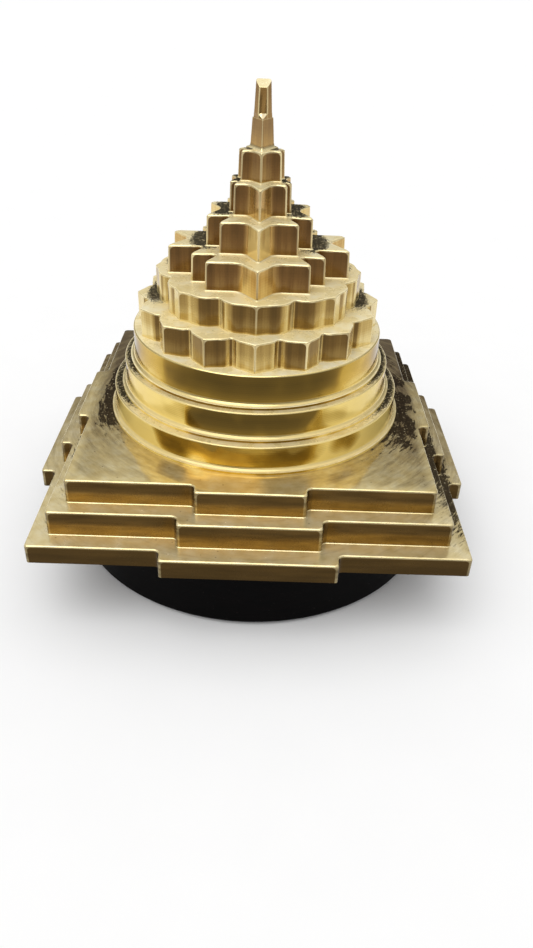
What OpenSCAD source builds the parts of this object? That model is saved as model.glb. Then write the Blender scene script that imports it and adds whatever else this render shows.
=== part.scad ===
// Meru shri yantra: the yantra raised into a stepped brass mountain, on a round black stand.
// Millimetres. Z is up, the front gate and the front points face -Y, and the stand rests on Z = 0.

/* [Stand] */
// Diameter of the round stand
stand_dia = 146; // [120:1:148]
// Height of the turned stand above its felt
stand_h = 27.5; // [12:0.5:40]
// Rounding of the stand's two rims
stand_rim_r = 1.5; // [0.5:0.25:4]
// Thickness of the felt under the stand
felt_t = 1.5; // [0.5:0.25:3]
// How far the felt stays in from the stand's rim
felt_inset = 3; // [2:0.5:10]

/* [Square tiers] */
// Side of the lower square
lower_square_side = 150; // [140:0.5:170]
// Side of the middle square
middle_square_side = 137; // [130:0.5:139]
// Side of the upper square
upper_square_side = 125.2; // [118:0.2:127]
// Thickness of the lower square
lower_square_t = 7.25; // [6.5:0.25:12]
// Thickness of the middle square
middle_square_t = 9.4; // [6:0.1:14]
// Thickness of the upper square
upper_square_t = 9; // [6:0.1:14]
// Width of the lower square's gates
lower_gate_w = 59.8; // [40:0.2:80]
// Width of the middle square's gates
middle_gate_w = 48.6; // [36:0.2:70]
// Width of the upper square's gates
upper_gate_w = 37.6; // [24:0.2:60]
// How far the lower gates step out
lower_gate_out = 5.5; // [3.5:0.1:9]
// How far the middle gates step out
middle_gate_out = 4.8; // [3.5:0.1:6]
// How far the upper gates step out
upper_gate_out = 4.5; // [3.5:0.1:5.5]
// Hollow corner beside a gate
gate_fillet_r = 2; // [0.5:0.25:3]
// Rounding of the outer corners in plan
square_corner_r = 1; // [0.25:0.25:3]

/* [Round tiers] */
// Diameter of the lower round tier's wall
lower_round_dia = 109; // [104:0.2:116]
// Diameter of the middle round tier's wall
middle_round_dia = 100; // [97:0.2:103]
// Diameter of the upper round tier's wall
upper_round_dia = 92.4; // [91:0.2:94]
// Height of the lower round tier
lower_round_h = 10; // [7:0.1:16]
// Height of the middle round tier
middle_round_h = 10.5; // [7:0.1:16]
// Height of the upper round tier
upper_round_h = 11.9; // [7:0.1:16]
// Hollow that flares each round wall out to its foot
round_cove_r = 1.6; // [0.5:0.1:2.5]
// Height of the thin lip under that hollow
round_lip_h = 0.8; // [0.4:0.1:1.5]
// Rounding of each round tier's top rim
round_rim_r = 0.7; // [0.2:0.1:1.5]

/* [Lotus tiers] */
// Number of petals on the lower lotus
large_lotus_petals = 16; // [12:1:20]
// Diameter over the lower lotus tips
large_lotus_tip_dia = 89; // [86:0.2:90]
// Diameter over the lower lotus shoulders
large_lotus_shoulder_dia = 85; // [83:0.2:86]
// Diameter over the lower lotus valleys
large_lotus_valley_dia = 78.6; // [77:0.2:81]
// Angle from a petal's middle to its shoulder on the lower lotus
large_lotus_shoulder_angle = 4; // [3:0.25:5]
// Half width of a pointed tip on the lower lotus
large_lotus_tip_w = 4.3; // [3:0.1:5]
// Height of the lower lotus
large_lotus_h = 10.25; // [7:0.05:16]
// Number of petals on the upper lotus
small_lotus_petals = 8; // [6:1:10]
// Diameter over the upper lotus tips
small_lotus_tip_dia = 74.6; // [73.8:0.2:76]
// Diameter over the upper lotus shoulders
small_lotus_shoulder_dia = 72.4; // [71.6:0.2:73]
// Diameter over the upper lotus valleys
small_lotus_valley_dia = 65; // [62:0.2:68]
// Angle from a petal's middle to its shoulder on the upper lotus
small_lotus_shoulder_angle = 10; // [7:0.5:12]
// Half width of a pointed tip on the upper lotus
small_lotus_tip_w = 3.2; // [2:0.1:4.5]
// Height of the upper lotus
small_lotus_h = 10.2; // [7:0.05:16]
// Width left open at the bottom of a valley between petals
valley_floor = 0.3; // [0.1:0.05:0.6]

/* [Star tiers] */
// Diameter of the circle that holds the nine interlocking triangles
star_circle_dia = 66.8; // [58:0.2:70]
// Height of the fourteen-point star
star14_h = 9.95; // [7:0.05:16]
// Height of the outer ten-point star
star10_outer_h = 10.65; // [7:0.05:16]
// Height of the inner ten-point star
star10_inner_h = 10.35; // [8:0.05:16]
// Height of the eight-point star
star8_h = 9.6; // [9:0.05:16]
// Hollow corner between the points of the fourteen-point star
star14_crease_r = 2; // [0.4:0.1:2.4]
// Hollow corner between the points of the outer ten-point star
star10_outer_crease_r = 1.8; // [0.4:0.1:2]
// Hollow corner between the points of the inner ten-point star
star10_inner_crease_r = 1.2; // [0.3:0.1:1.4]
// Hollow corner between the points of the eight-point star
star8_crease_r = 0.7; // [0.2:0.1:0.8]

/* [Spire] */
// Height of the central triangle
triangle_h = 9.35; // [6:0.05:14]
// Size of the triangle's foot against the figure's own triangle
triangle_foot_scale = 1.2; // [1.1:0.02:1.3]
// Size of the triangle's top against its foot
triangle_top_scale = 0.86; // [0.8:0.02:1]
// Size of the triangle's flared foot against its own foot
triangle_flare_scale = 1.26; // [1.1:0.02:1.3]
// Height of that flare
triangle_flare_h = 1.4; // [0.6:0.1:2]
// Height of the bindu above the triangle, up to its back edge
bindu_h = 11.3; // [6:0.05:14]
// Size of the bindu's top against its foot
bindu_top_scale = 0.82; // [0.7:0.02:1]
// Share of each side that is cut off at the bindu's back corners
bindu_cut = 0.13; // [0.1:0.01:0.33]
// Share of the bindu's depth that the flat on its front edge takes
bindu_front_cut = 0.44; // [0.3:0.01:0.48]
// Slope of the seat below that flat
bindu_seat_slope = 30; // [20:1:40]
// Slope of the bindu's top, down to the front
bindu_top_slope = 40; // [10:1:45]
// Diameter of the spigot under the bindu
spigot_dia = 2; // [1.5:0.1:2.2]
// How far the spigot goes into the eight-point star
spigot_grip = 3; // [2:0.25:3.25]

/* [Fixings] */
// Diameter of the tie rod
rod_dia = 5; // [4:0.5:5]
// How far the tie rod screws into the eight-point star
rod_grip = 5; // [4:0.25:5.25]
// Nut size across its flats
nut_flats = 8; // [7:0.5:10]
// Height of the thin nut
nut_h = 2.7; // [2.2:0.1:4]
// Outside diameter of the washer
washer_dia = 12; // [9:0.5:15]
// Thickness of the washer
washer_t = 1; // [0.5:0.25:1]
// Room around the washer in its pocket, for a socket wrench
pocket_room = 2; // [1.5:0.25:4]
// How far the nut stays inside the lower square's underside
nut_recess = 1; // [0.5:0.25:1]
// How far the rod's two ends stay clear, below the nut's pocket and in the eight-point star
rod_end_room = 0.5; // [0.25:0.25:0.75]
// Chamfer on the rod's two ends
rod_chamfer = 0.6; // [0.3:0.1:1]
// Diameter of the pins between the squares, round tiers and lotuses
large_pin_dia = 4; // [3:0.5:5]
// Length of these pins
large_pin_l = 9; // [6:0.5:10]
// Diameter of the pins between the stars
small_pin_dia = 1.5; // [1:0.25:1.5]
// Length of these pins
small_pin_l = 6; // [4:0.5:6]
// Distance from the middle to the pins in the squares
square_pin_x = 45; // [40:0.5:48]
// Distance from the middle to the pins in the round tiers
round_pin_x = 33; // [20:0.5:36]
// Distance from the middle to the pins under the upper lotus
lotus_pin_x = 23; // [12:0.5:26]
// Distance to the pins under the fourteen-point star, in parts of the figure
star14_pin_at = 14; // [8:0.5:15]
// Distance to the pins under the outer ten-point star, in parts of the figure
star10_outer_pin_at = 7.5; // [4.5:0.5:8]
// Distance to the pins under the inner ten-point star, in parts of the figure
star10_inner_pin_at = 4.5; // [3.5:0.25:5]
// Distance to the pins under the eight-point star, in parts of the figure
star8_pin_at = 4; // [3.6:0.1:4.2]
// Gap around the rod and the pins
fixing_gap = 0.1; // [0.05:0.05:0.15]

/* [Hidden] */
$fn = 96;
over = 0.5;
hair = 0.02;

stand_z = felt_t;
lower_square_z = stand_z + stand_h;
middle_square_z = lower_square_z + lower_square_t;
upper_square_z = middle_square_z + middle_square_t;
lower_round_z = upper_square_z + upper_square_t;
middle_round_z = lower_round_z + lower_round_h;
upper_round_z = middle_round_z + middle_round_h;
large_lotus_z = upper_round_z + upper_round_h;
small_lotus_z = large_lotus_z + large_lotus_h;
star14_z = small_lotus_z + small_lotus_h;
star10_outer_z = star14_z + star14_h;
star10_inner_z = star10_outer_z + star10_outer_h;
star8_z = star10_inner_z + star10_inner_h;
triangle_z = star8_z + star8_h;
bindu_z = triangle_z + triangle_h;

pocket_dia = washer_dia + 2 * pocket_room;
pocket_h = nut_h + washer_t + nut_recess;
washer_z = lower_square_z + pocket_h - washer_t;
nut_z = washer_z - nut_h;
rod_bottom_z = lower_square_z + rod_end_room;
rod_top_z = star8_z + rod_grip - rod_end_room;
rod_l = rod_top_z - rod_bottom_z;
rod_hole_dia = rod_dia + 2 * fixing_gap;

// The traditional recipe for the figure: its circle is 48 parts across. Nine level lines cross it,
// each is rubbed out by some parts at both ends, and each is the base of one triangle.
part = star_circle_dia / 48;
line_height = [18, 12, 7, 4, 1, -3, -6, -12, -18];
line_rubbed = [3, 5, 0, 16, 18, 16, 0, 4, 3];
corner_height = [-3, -18, -24, -12, -6, 12, 24, 18, 7];

function line_half(k) = sqrt(24 * 24 - pow(line_height[k - 1], 2)) - line_rubbed[k - 1];
function base(k) = [[0, line_height[k - 1]], [line_half(k), line_height[k - 1]]];
function side(k) = [[line_half(k), line_height[k - 1]], [0, corner_height[k - 1]]];
function corner(k) = [0, corner_height[k - 1]];
function tip(k) = [line_half(k), line_height[k - 1]];

// Point where two straight lines cross, in mm
function cross2(a, b) = a[0] * b[1] - a[1] * b[0];
function meet(a, b) =
    let (run_a = a[1] - a[0])
    let (run_b = b[1] - b[0])
    a[0] + run_a * cross2(b[0] - a[0], run_b) / cross2(run_a, run_b);

// Right half of each star, from its front point to its back point: point, crease, point and so on
star14_half = [
    corner(3), meet(side(3), base(9)),
    tip(9), meet(side(9), base(8)),
    tip(8), meet(side(8), base(7)),
    tip(7), meet(side(7), side(3)),
    tip(3), meet(base(3), side(2)),
    tip(2), meet(base(2), side(1)),
    tip(1), meet(base(1), side(7)),
    corner(7)
];
star10_outer_half = [
    corner(2), meet(side(2), base(8)),
    meet(base(8), side(9)), meet(side(9), base(7)),
    meet(base(7), side(8)), meet(side(8), side(2)),
    meet(side(2), base(3)), meet(base(3), side(1)),
    meet(side(1), base(2)), meet(base(2), side(8)),
    corner(8)
];
star10_inner_half = [
    corner(4), meet(side(4), base(7)),
    meet(base(7), side(9)), meet(side(9), base(6)),
    tip(6), meet(side(6), side(4)),
    tip(4), meet(base(4), side(1)),
    meet(side(1), base(3)), meet(base(3), side(6)),
    corner(6)
];
star8_half = [
    corner(5), meet(side(5), base(6)),
    meet(base(6), side(9)), meet(side(9), side(5)),
    tip(5), meet(base(5), side(1)),
    meet(side(1), base(4)), meet(base(4), side(9)),
    corner(9)
];
triangle_half = [corner(1), meet(side(1), base(5))];

// Whole outline in mm from its right half; a half that ends off the middle line keeps its last point
function other_half(half) = [
    for (i = [len(half) - 1 : -1 : 1])
        if (half[i][0] > 0) [-half[i][0], half[i][1]]
];
function outline(half) = part * concat(half, other_half(half));
function along(from, to) = (to - from) / norm(to - from);

triangle = triangle_foot_scale * outline(triangle_half);
spire_y = (triangle[0][1] + triangle[1][1] + triangle[2][1]) / 3;
spire_plan = [for (p = triangle) p - [0, spire_y]];

// Each row is a pair of pins: how far they stand from the middle, and the face between two tiers
large_pins = [
    [square_pin_x, middle_square_z],
    [square_pin_x, upper_square_z],
    [round_pin_x, lower_round_z],
    [round_pin_x, middle_round_z],
    [round_pin_x, upper_round_z],
    [round_pin_x, large_lotus_z],
    [lotus_pin_x, small_lotus_z]
];
small_pins = [
    [star14_pin_at * part, star14_z],
    [star10_outer_pin_at * part, star10_outer_z],
    [star10_inner_pin_at * part, star10_inner_z],
    [star8_pin_at * part, star8_z]
];

// What is cut away to round an outer corner that lies at the origin of its quarter
module corner_nibble(r) {
    difference() {
        translate([-r, -r]) square(r + over);
        translate([-r, -r]) circle(r);
    }
}

// What is added in a hollow corner that lies at the origin of its quarter
module corner_fill(r) {
    difference() {
        translate([-over, -over]) square(r + over);
        translate([r, r]) circle(r);
    }
}

// Plan of a square tier: a gate steps out of the middle of each side
module gate_plan(wide, gate_w, gate_out) {
    half = wide / 2;
    difference() {
        union() {
            square(wide, center = true);
            for (turn = [0 : 90 : 270]) {
                rotate(turn) {
                    translate([-gate_w / 2, half - over]) square([gate_w, gate_out + over]);
                    translate([gate_w / 2, half]) corner_fill(gate_fillet_r);
                    mirror([1, 0]) translate([gate_w / 2, half]) corner_fill(gate_fillet_r);
                }
            }
        }
        for (turn = [0 : 90 : 270]) {
            rotate(turn) {
                translate([half, half]) corner_nibble(square_corner_r);
                translate([gate_w / 2, half + gate_out]) corner_nibble(square_corner_r);
                mirror([1, 0]) translate([gate_w / 2, half + gate_out]) corner_nibble(square_corner_r);
            }
        }
    }
}

// Half section of a round tier: rounded rim, plain wall, hollow flare and thin lip at the foot
module round_section(dia, h) {
    wall = dia / 2;
    difference() {
        union() {
            square([wall, h]);
            square([wall + round_cove_r, round_lip_h]);
            translate([wall, round_lip_h]) corner_fill_up(round_cove_r);
        }
        translate([wall, h]) corner_nibble(round_rim_r);
    }
}

// Same as corner_fill, but nothing goes below its foot
module corner_fill_up(r) {
    difference() {
        translate([-over, 0]) square([r + over, r]);
        translate([r, r]) circle(r);
    }
}

// Plan of a lotus: each petal has two round shoulders and a pointed tip between them.
// A shoulder's circle is placed so that it runs into the valley at the valley's own radius.
module lotus_plan(petals, tip_dia, shoulder_dia, valley_dia, shoulder_angle, tip_w) {
    shoulder = shoulder_dia / 2;
    valley = valley_dia / 2;
    spread = cos(180 / petals - shoulder_angle);
    lobe_at = (shoulder * shoulder - valley * valley) / (2 * (shoulder - valley * spread));
    lobe_r = shoulder - lobe_at;
    far = tip_dia * [sin(shoulder_angle), cos(shoulder_angle)];
    tip_foot = sqrt(shoulder * shoulder - tip_w * tip_w) - valley_floor;
    circle(valley + valley_floor);
    for (i = [0 : petals - 1]) {
        rotate(180 + i * 360 / petals) {
            rotate(shoulder_angle) translate([0, lobe_at]) circle(lobe_r);
            rotate(-shoulder_angle) translate([0, lobe_at]) circle(lobe_r);
            intersection() {
                circle(shoulder);
                polygon([[0, 0], [far[0], far[1]], [-far[0], far[1]]]);
            }
            polygon([[0, tip_dia / 2], [-tip_w, tip_foot], [0, lobe_at], [tip_w, tip_foot]]);
        }
    }
}

// Fills the hollow corner at the middle one of three outline points; its circle is a hair larger
// than one that just touches both walls, so it crosses them cleanly
module crease_fill(before, at, after, r) {
    to_before = along(at, before);
    to_after = along(at, after);
    middle = along([0, 0], to_before + to_after);
    half_angle = acos(to_before * middle);
    centre = at + middle * r / sin(half_angle);
    reach = r / tan(half_angle);
    difference() {
        polygon([at - middle * over, at + to_before * reach, centre, at + to_after * reach]);
        translate(centre) circle(r + hair);
    }
}

// Plan of a star: its points stay sharp and the creases between them are hollow corners
module star_plan(half, crease_r) {
    points = outline(half);
    count = len(points);
    polygon(points);
    for (i = [1 : 2 : count - 1]) {
        crease_fill(points[i - 1], points[i], points[(i + 1) % count], crease_r);
    }
}

// Hole for the tie rod through a tier that starts at z
module rod_hole(z, h) {
    translate([0, 0, z - over]) cylinder(d = rod_hole_dia, h = h + 2 * over);
}

// A row of pins, or of the holes for them when room is left around them
module pin_row(rows, dia, length, room) {
    for (row = rows) {
        for (way = [-1, 1]) {
            translate([way * row[0], 0, row[1] - length / 2 - room])
                cylinder(d = dia + 2 * room, h = length + 2 * room);
        }
    }
}

module pin_holes() {
    pin_row(large_pins, large_pin_dia, large_pin_l, fixing_gap);
    pin_row(small_pins, small_pin_dia, small_pin_l, fixing_gap);
}

// Half section of a round bar whose two ends are chamfered
module chamfered_section(end_r, r, chamfer, length) {
    polygon([
        [0, 0], [end_r, 0], [r, chamfer],
        [r, length - chamfer], [end_r, length], [0, length]
    ]);
}

module round_stand() {
    rim = stand_dia / 2 - stand_rim_r;
    color("#161416")
    translate([0, 0, stand_z])
    rotate_extrude() {
        square([rim, stand_h]);
        translate([0, stand_rim_r]) square([stand_dia / 2, stand_h - 2 * stand_rim_r]);
        translate([rim, stand_rim_r]) circle(stand_rim_r);
        translate([rim, stand_h - stand_rim_r]) circle(stand_rim_r);
    }
}

module stand_felt() {
    color("#26242a")
    cylinder(d = stand_dia - 2 * felt_inset, h = felt_t);
}

module lower_square_tier() {
    color("#c8a24a")
    difference() {
        translate([0, 0, lower_square_z])
            linear_extrude(lower_square_t)
            gate_plan(lower_square_side, lower_gate_w, lower_gate_out);
        rod_hole(lower_square_z, lower_square_t);
        translate([0, 0, lower_square_z - over]) cylinder(d = pocket_dia, h = pocket_h + over);
        pin_holes();
    }
}

module middle_square_tier() {
    color("#c8a24a")
    difference() {
        translate([0, 0, middle_square_z])
            linear_extrude(middle_square_t)
            gate_plan(middle_square_side, middle_gate_w, middle_gate_out);
        rod_hole(middle_square_z, middle_square_t);
        pin_holes();
    }
}

module upper_square_tier() {
    color("#c8a24a")
    difference() {
        translate([0, 0, upper_square_z])
            linear_extrude(upper_square_t)
            gate_plan(upper_square_side, upper_gate_w, upper_gate_out);
        rod_hole(upper_square_z, upper_square_t);
        pin_holes();
    }
}

module lower_round_tier() {
    color("#d2ac50")
    difference() {
        translate([0, 0, lower_round_z]) rotate_extrude() round_section(lower_round_dia, lower_round_h);
        rod_hole(lower_round_z, lower_round_h);
        pin_holes();
    }
}

module middle_round_tier() {
    color("#d2ac50")
    difference() {
        translate([0, 0, middle_round_z]) rotate_extrude() round_section(middle_round_dia, middle_round_h);
        rod_hole(middle_round_z, middle_round_h);
        pin_holes();
    }
}

module upper_round_tier() {
    color("#d2ac50")
    difference() {
        translate([0, 0, upper_round_z]) rotate_extrude() round_section(upper_round_dia, upper_round_h);
        rod_hole(upper_round_z, upper_round_h);
        pin_holes();
    }
}

module sixteen_petal_tier() {
    color("#c8a24a")
    difference() {
        translate([0, 0, large_lotus_z])
            linear_extrude(large_lotus_h)
            lotus_plan(large_lotus_petals, large_lotus_tip_dia, large_lotus_shoulder_dia,
                large_lotus_valley_dia, large_lotus_shoulder_angle, large_lotus_tip_w);
        rod_hole(large_lotus_z, large_lotus_h);
        pin_holes();
    }
}

module eight_petal_tier() {
    color("#c8a24a")
    difference() {
        translate([0, 0, small_lotus_z])
            linear_extrude(small_lotus_h)
            lotus_plan(small_lotus_petals, small_lotus_tip_dia, small_lotus_shoulder_dia,
                small_lotus_valley_dia, small_lotus_shoulder_angle, small_lotus_tip_w);
        rod_hole(small_lotus_z, small_lotus_h);
        pin_holes();
    }
}

module fourteen_point_tier() {
    color("#c8a24a")
    difference() {
        translate([0, 0, star14_z]) linear_extrude(star14_h) star_plan(star14_half, star14_crease_r);
        rod_hole(star14_z, star14_h);
        pin_holes();
    }
}

module outer_ten_point_tier() {
    color("#c8a24a")
    difference() {
        translate([0, 0, star10_outer_z])
            linear_extrude(star10_outer_h)
            star_plan(star10_outer_half, star10_outer_crease_r);
        rod_hole(star10_outer_z, star10_outer_h);
        pin_holes();
    }
}

module inner_ten_point_tier() {
    color("#c8a24a")
    difference() {
        translate([0, 0, star10_inner_z])
            linear_extrude(star10_inner_h)
            star_plan(star10_inner_half, star10_inner_crease_r);
        rod_hole(star10_inner_z, star10_inner_h);
        pin_holes();
    }
}

module eight_point_tier() {
    color("#c8a24a")
    difference() {
        translate([0, 0, star8_z]) linear_extrude(star8_h) star_plan(star8_half, star8_crease_r);
        translate([0, 0, star8_z - over]) cylinder(d = rod_hole_dia, h = rod_grip + over);
        translate([0, spire_y, triangle_z - spigot_grip - fixing_gap])
            cylinder(d = spigot_dia + 2 * fixing_gap, h = spigot_grip + over);
        pin_holes();
    }
}

module triangle_tier() {
    color("#c8a24a")
    translate([0, spire_y, triangle_z])
    difference() {
        union() {
            linear_extrude(triangle_h, scale = triangle_top_scale) polygon(spire_plan);
            // the flare runs on into the walls, so that both meet in one clean line
            linear_extrude(2 * triangle_flare_h, scale = 2 / triangle_flare_scale - 1)
                polygon(triangle_flare_scale * spire_plan);
        }
        translate([0, 0, -over]) cylinder(d = spigot_dia + 2 * fixing_gap, h = triangle_h + 2 * over);
    }
}

function cut_corner(from, to) = from + (to - from) * bindu_cut;

// Side view of what is cut off the bindu's front edge and top: seat, flat and sloping top
module bindu_side_cut(front, back) {
    flat = front + (back - front) * bindu_front_cut;
    flat_top = flat * bindu_top_scale;
    seat_h = (flat - front) * tan(bindu_seat_slope);
    rise = tan(bindu_top_slope);
    flat_h = bindu_h - (back * bindu_top_scale - flat_top) * rise;
    polygon([
        [front - over, -over * tan(bindu_seat_slope)], [flat, seat_h], [flat_top, flat_h],
        [back + over, flat_h + (back + over - flat_top) * rise],
        [back + over, bindu_h + 5 * over], [front - over, bindu_h + 5 * over]
    ]);
}

// The two back corners are cut, the front edge has a flat above a sloping seat, and the top slopes
module bindu() {
    foot = triangle_top_scale * spire_plan;
    color("#d2ac50")
    translate([0, spire_y, bindu_z]) {
        difference() {
            linear_extrude(bindu_h, scale = bindu_top_scale)
                polygon([
                    foot[0],
                    cut_corner(foot[1], foot[0]), cut_corner(foot[1], foot[2]),
                    cut_corner(foot[2], foot[1]), cut_corner(foot[2], foot[0])
                ]);
            rotate([90, 0, 90])
                translate([0, 0, -star_circle_dia / 2])
                linear_extrude(star_circle_dia)
                bindu_side_cut(foot[0][1], foot[1][1]);
        }
        translate([0, 0, -triangle_h - spigot_grip])
            cylinder(d = spigot_dia, h = triangle_h + spigot_grip + over);
    }
}

module tie_rod() {
    color("#9a9ca0")
    translate([0, 0, rod_bottom_z])
    rotate_extrude()
    chamfered_section(rod_dia / 2 - rod_chamfer, rod_dia / 2, rod_chamfer, rod_l);
}

module tie_nut() {
    corner_r = nut_flats / 2 / cos(30);
    slope = (corner_r - nut_flats / 2) * tan(30);
    color("#9a9ca0")
    difference() {
        translate([0, 0, nut_z])
        intersection() {
            cylinder(r = corner_r, h = nut_h, $fn = 6);
            rotate_extrude() chamfered_section(nut_flats / 2, corner_r, slope, nut_h);
        }
        rod_hole(nut_z, nut_h);
    }
}

module tie_washer() {
    color("#9a9ca0")
    difference() {
        translate([0, 0, washer_z]) cylinder(d = washer_dia, h = washer_t);
        rod_hole(washer_z, washer_t);
    }
}

module locating_pins() {
    color("#9a9ca0") {
        pin_row(large_pins, large_pin_dia, large_pin_l, 0);
        pin_row(small_pins, small_pin_dia, small_pin_l, 0);
    }
}

round_stand();
stand_felt();
lower_square_tier();
middle_square_tier();
upper_square_tier();
lower_round_tier();
middle_round_tier();
upper_round_tier();
sixteen_petal_tier();
eight_petal_tier();
fourteen_point_tier();
outer_ten_point_tier();
inner_ten_point_tier();
eight_point_tier();
triangle_tier();
bindu();
tie_rod();
tie_nut();
tie_washer();
locating_pins();
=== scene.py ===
import math

import bmesh
import bpy
from mathutils import Matrix, Vector


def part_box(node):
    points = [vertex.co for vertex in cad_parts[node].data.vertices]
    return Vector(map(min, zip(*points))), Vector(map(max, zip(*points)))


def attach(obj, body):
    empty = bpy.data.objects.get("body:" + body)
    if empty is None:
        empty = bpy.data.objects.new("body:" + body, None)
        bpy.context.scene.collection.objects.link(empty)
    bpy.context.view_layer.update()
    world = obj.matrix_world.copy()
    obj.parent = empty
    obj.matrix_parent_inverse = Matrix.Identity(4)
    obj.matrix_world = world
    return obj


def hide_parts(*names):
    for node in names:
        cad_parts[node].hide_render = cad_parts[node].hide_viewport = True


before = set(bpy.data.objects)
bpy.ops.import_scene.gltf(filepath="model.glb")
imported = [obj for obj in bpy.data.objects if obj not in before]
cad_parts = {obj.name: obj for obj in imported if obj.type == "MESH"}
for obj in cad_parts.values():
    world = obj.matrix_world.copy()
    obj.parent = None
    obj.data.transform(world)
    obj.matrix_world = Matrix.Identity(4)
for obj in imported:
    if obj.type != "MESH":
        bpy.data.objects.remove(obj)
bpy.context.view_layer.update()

scene = bpy.context.scene
mm = 0.001
hair = 0.001 * mm  # points closer than this are in one place
sliver = 0.002 * mm  # edges shorter than this are dissolved
weld = 0.005 * mm  # doubles closer than this are merged
slack = 0.01 * mm  # room for rounding errors where edges are picked by their place
noiseLow, noiseHigh = 0.3, 0.7  # nearly all of a noise texture lies between these
oneBand = 0.314  # over a length, the wave texture's scale for one band in that length


def linear(hexCode):
    channels = [int(hexCode[i:i + 2], 16) / 255 for i in (1, 3, 5)]
    return [c / 12.92 if c <= 0.04045 else ((c + 0.055) / 1.055) ** 2.4 for c in channels] + [1]


# one node with its settings, its links or plain values, and a ramp's stops
def addNode(tree, kind, links=None, stops=None, **settings):
    new = tree.nodes.new(kind)
    for key, value in settings.items():
        setattr(new, key, value)
    for slot, value in (links or {}).items():
        if isinstance(value, bpy.types.NodeSocket):
            tree.links.new(value, new.inputs[slot])
        else:
            new.inputs[slot].default_value = value
    if stops:
        first, *inner, last = [(at, linear(tone) if isinstance(tone, str) else (tone, tone, tone, 1))
                               for at, tone in stops]
        ramp = new.color_ramp.elements
        for end, (at, shade) in zip(ramp, (first, last)):
            end.position, end.color = at, shade
        for at, shade in inner:
            ramp.new(at).color = shade
    return new


def newMaterial(name):
    material = bpy.data.materials.new(name)
    material.use_nodes = True
    return material, material.node_tree, material.node_tree.nodes["Principled BSDF"]


# camera solved from the photograph, which is 533 x 948
cameraSet = {
    "lens": 28.69,
    "sensor": 36,  # along the long side
    "place": (2.51 * mm, -268.82 * mm, 198.47 * mm),
    "down": 33.92,
    "yaw": -0.69,
    "roll": 2.26,
    "clipStart": 10 * mm,
}


def setCamera(look):
    camera = bpy.data.cameras.new("photoCamera")
    camera.sensor_fit = "VERTICAL"
    camera.sensor_height = look["sensor"]
    camera.lens = look["lens"]
    camera.clip_start = look["clipStart"]
    holder = bpy.data.objects.new("photoCamera", camera)
    scene.collection.objects.link(holder)
    turn = Matrix.Rotation(math.radians(look["yaw"]), 4, "Z")
    tilt = Matrix.Rotation(math.radians(90 - look["down"]), 4, "X")
    roll = Matrix.Rotation(math.radians(look["roll"]), 4, "Z")
    holder.matrix_world = Matrix.Translation(look["place"]) @ turn @ tilt @ roll
    scene.camera = holder


setCamera(cameraSet)
print("camera set")

stageSet = {
    "floorHalf": 40.0,
    "floorTone": [(0, "#fafafa"), (1, "#fdfdfd")],
    "floorGrain": 25 * mm,
    "floorRough": 0.9,
    "wallLevel": 0.3,  # room at the horizon
    "ceilingLevel": 1.14,  # room overhead
    "ceilingFocus": 2.0,  # how late the walls give way to the ceiling
    "lampPower": 1.2,
    "lampSpread": 60,  # degrees across, so shadows stay soft
    "lampFrom": (-0.3, -0.6, 1.0),
}


def setStage(look):
    material, tree, surface = newMaterial("studioFloorMatteWhite")
    place = addNode(tree, "ShaderNodeTexCoord")
    grain = addNode(tree, "ShaderNodeTexNoise", {
        "Vector": place.outputs["Object"], "Scale": 1 / look["floorGrain"]})
    tone = addNode(tree, "ShaderNodeValToRGB", {"Fac": grain.outputs["Fac"]}, stops=look["floorTone"])
    tree.links.new(tone.outputs["Color"], surface.inputs["Base Color"])
    surface.inputs["Roughness"].default_value = look["floorRough"]
    surface.inputs["Specular IOR Level"].default_value = 0.0
    bm = bmesh.new()
    bmesh.ops.create_grid(bm, x_segments=1, y_segments=1, size=look["floorHalf"])
    mesh = bpy.data.meshes.new("studioFloor")
    bm.to_mesh(mesh)
    bm.free()
    mesh.materials.append(material)
    floor = bpy.data.objects.new("studioFloor", mesh)
    scene.collection.objects.link(floor)

    world = bpy.data.worlds.new("softRoom")
    scene.world = world
    world.use_nodes = True
    sky = world.node_tree
    back = sky.nodes["Background"]
    way = addNode(sky, "ShaderNodeTexCoord")
    up = addNode(sky, "ShaderNodeSeparateXYZ", {"Vector": way.outputs["Generated"]})
    lift = addNode(sky, "ShaderNodeMath", {0: up.outputs["Z"], 1: look["ceilingFocus"]}, operation="POWER")
    level = addNode(sky, "ShaderNodeMapRange", {
        "Value": lift.outputs[0], "To Min": look["wallLevel"], "To Max": look["ceilingLevel"]})
    sky.links.new(level.outputs["Result"], back.inputs["Strength"])
    back.inputs["Color"].default_value = linear("#ffffff")

    lamp = bpy.data.lights.new("broadOverheadLight", "SUN")
    lamp.energy = look["lampPower"]
    lamp.angle = math.radians(look["lampSpread"])
    holder = bpy.data.objects.new("broadOverheadLight", lamp)
    scene.collection.objects.link(holder)
    holder.rotation_euler = Vector(look["lampFrom"]).to_track_quat("Z", "Y").to_euler()
    scene.view_settings.view_transform = "Standard"


setStage(stageSet)
print("stage set")

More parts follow.
